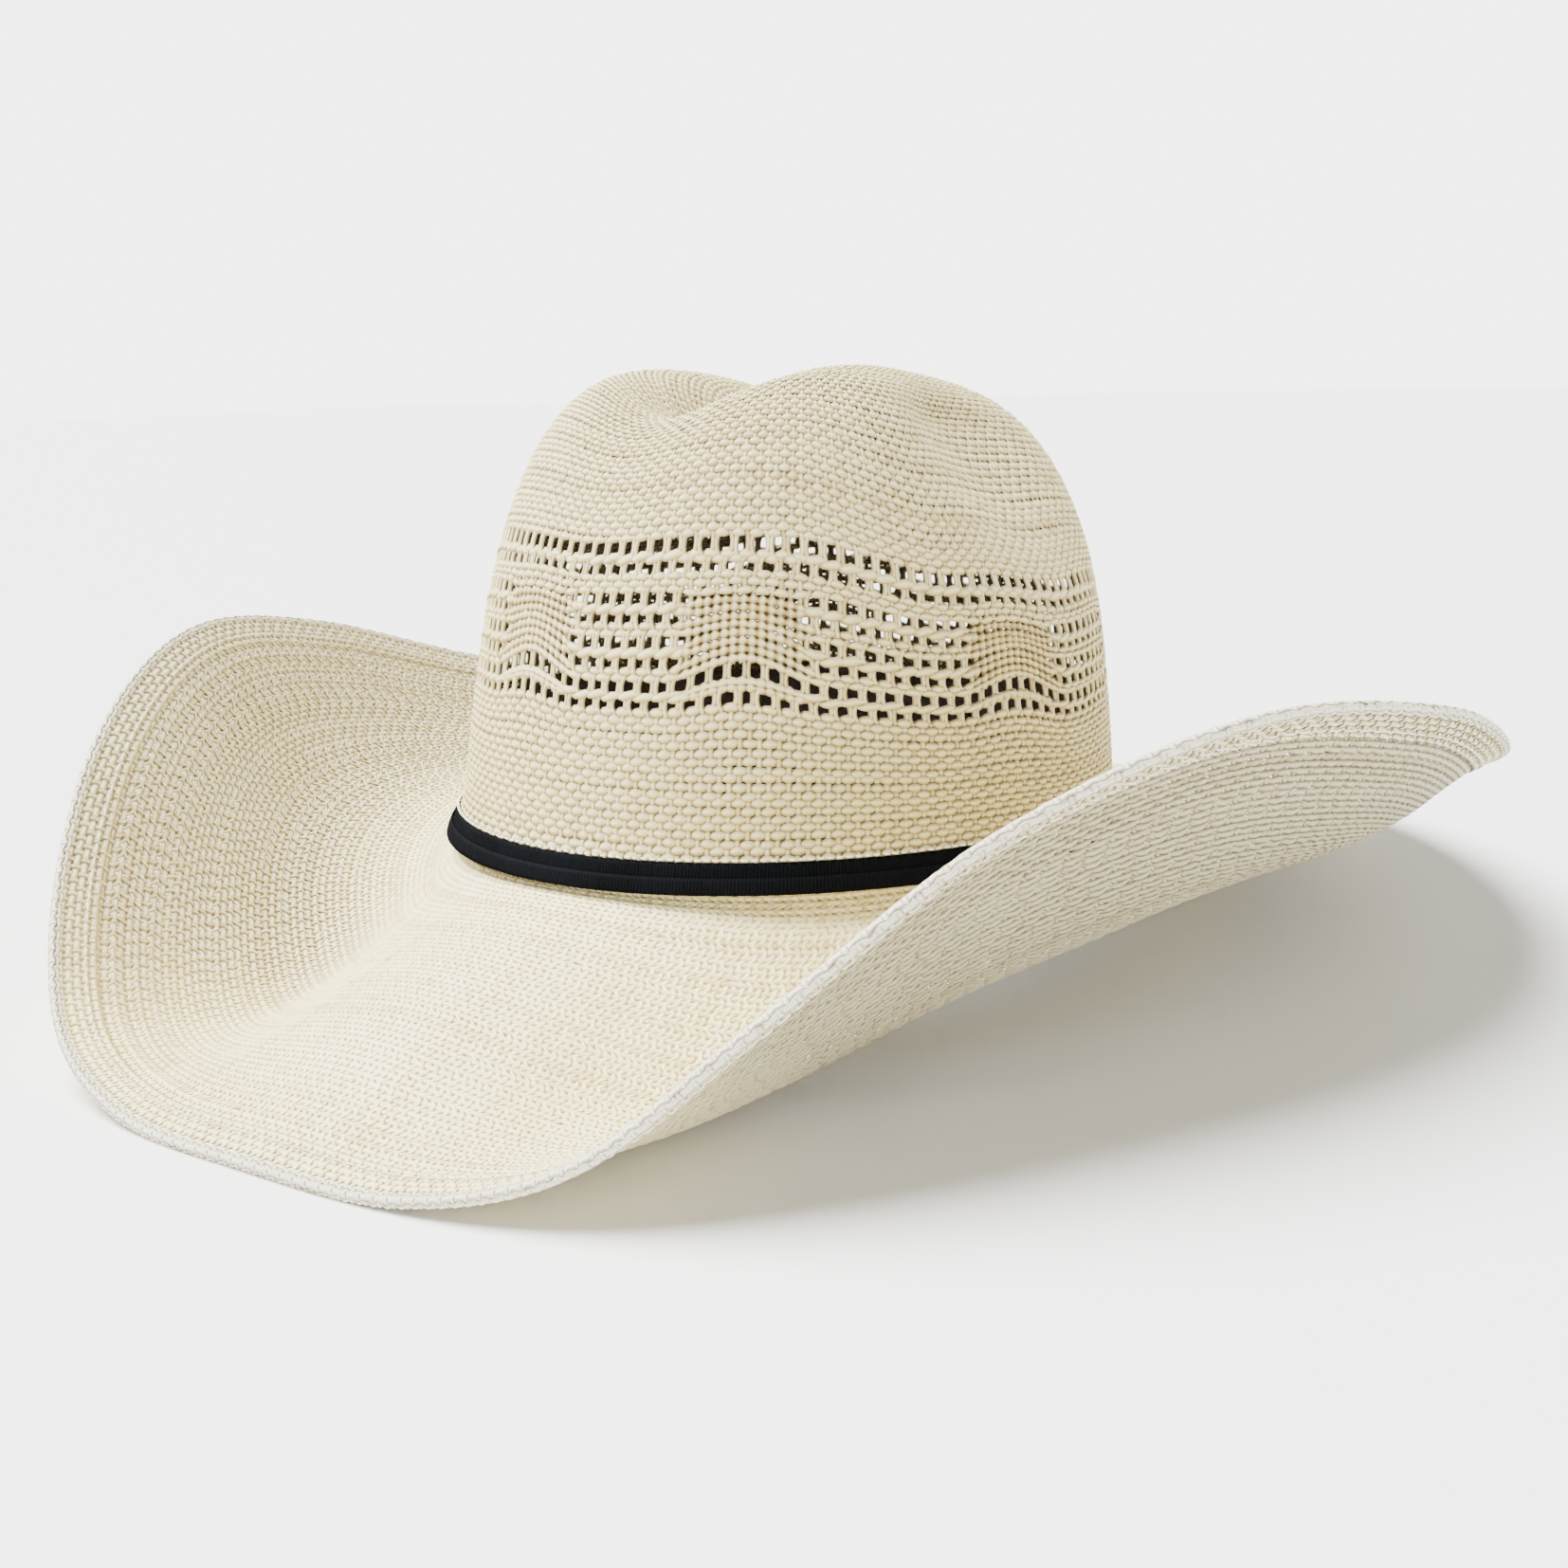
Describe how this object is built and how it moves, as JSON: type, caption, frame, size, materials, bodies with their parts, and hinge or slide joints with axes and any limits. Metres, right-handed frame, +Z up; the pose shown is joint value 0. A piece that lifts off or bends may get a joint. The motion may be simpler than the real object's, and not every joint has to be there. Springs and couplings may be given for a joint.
{
  "type": "western straw hat",
  "caption": "Open-weave straw western hat with a creased crown, a brim rolled up at the sides, a narrow ribbon band and a headband inside.",
  "frame": {"origin": "on the standing surface, under the middle of the hat", "axes": "+Z up, -Y towards the front of the hat, +X towards the wearer's left"},
  "size_m": [0.369, 0.4134, 0.1532],
  "materials": {
    "straw": "pale cream woven straw, lightly lacquered",
    "straw_edge": "pale folded straw, matt",
    "spring_wire": "plain drawn wire",
    "pale_thread": "off-white cotton thread",
    "ribbon": "blue-black ribbed grosgrain",
    "headband_leather": "dark brown, smooth, slightly glossy",
    "reed_plastic": "off-white extruded strip",
    "tape_cloth": "dark twill tape",
    "dark_thread": "black cotton thread",
    "satin": "black satin ribbon",
    "card": "plain off-white card, blank"
  },
  "bodies": {
    "root": {"crown": "straw", "brim": "straw", "brim_edge_binding": "straw_edge", "brim_edge_wire": "spring_wire", "brim_needle_thread": "pale_thread", "brim_bobbin_thread": "pale_thread", "hatband_ribbon": "ribbon", "hatband_top_ply": "ribbon", "hatband_tail": "ribbon", "hatband_keeper": "ribbon", "hatband_thread": "pale_thread", "headline_thread": "pale_thread", "sweatband": "headband_leather", "sweatband_reed": "reed_plastic", "reed_tape": "tape_cloth", "sweatband_thread": "dark_thread", "sweatband_rear_tab": "headband_leather", "sweatband_bow": "satin", "size_tab": "card"}
  },
  "joints": []
}
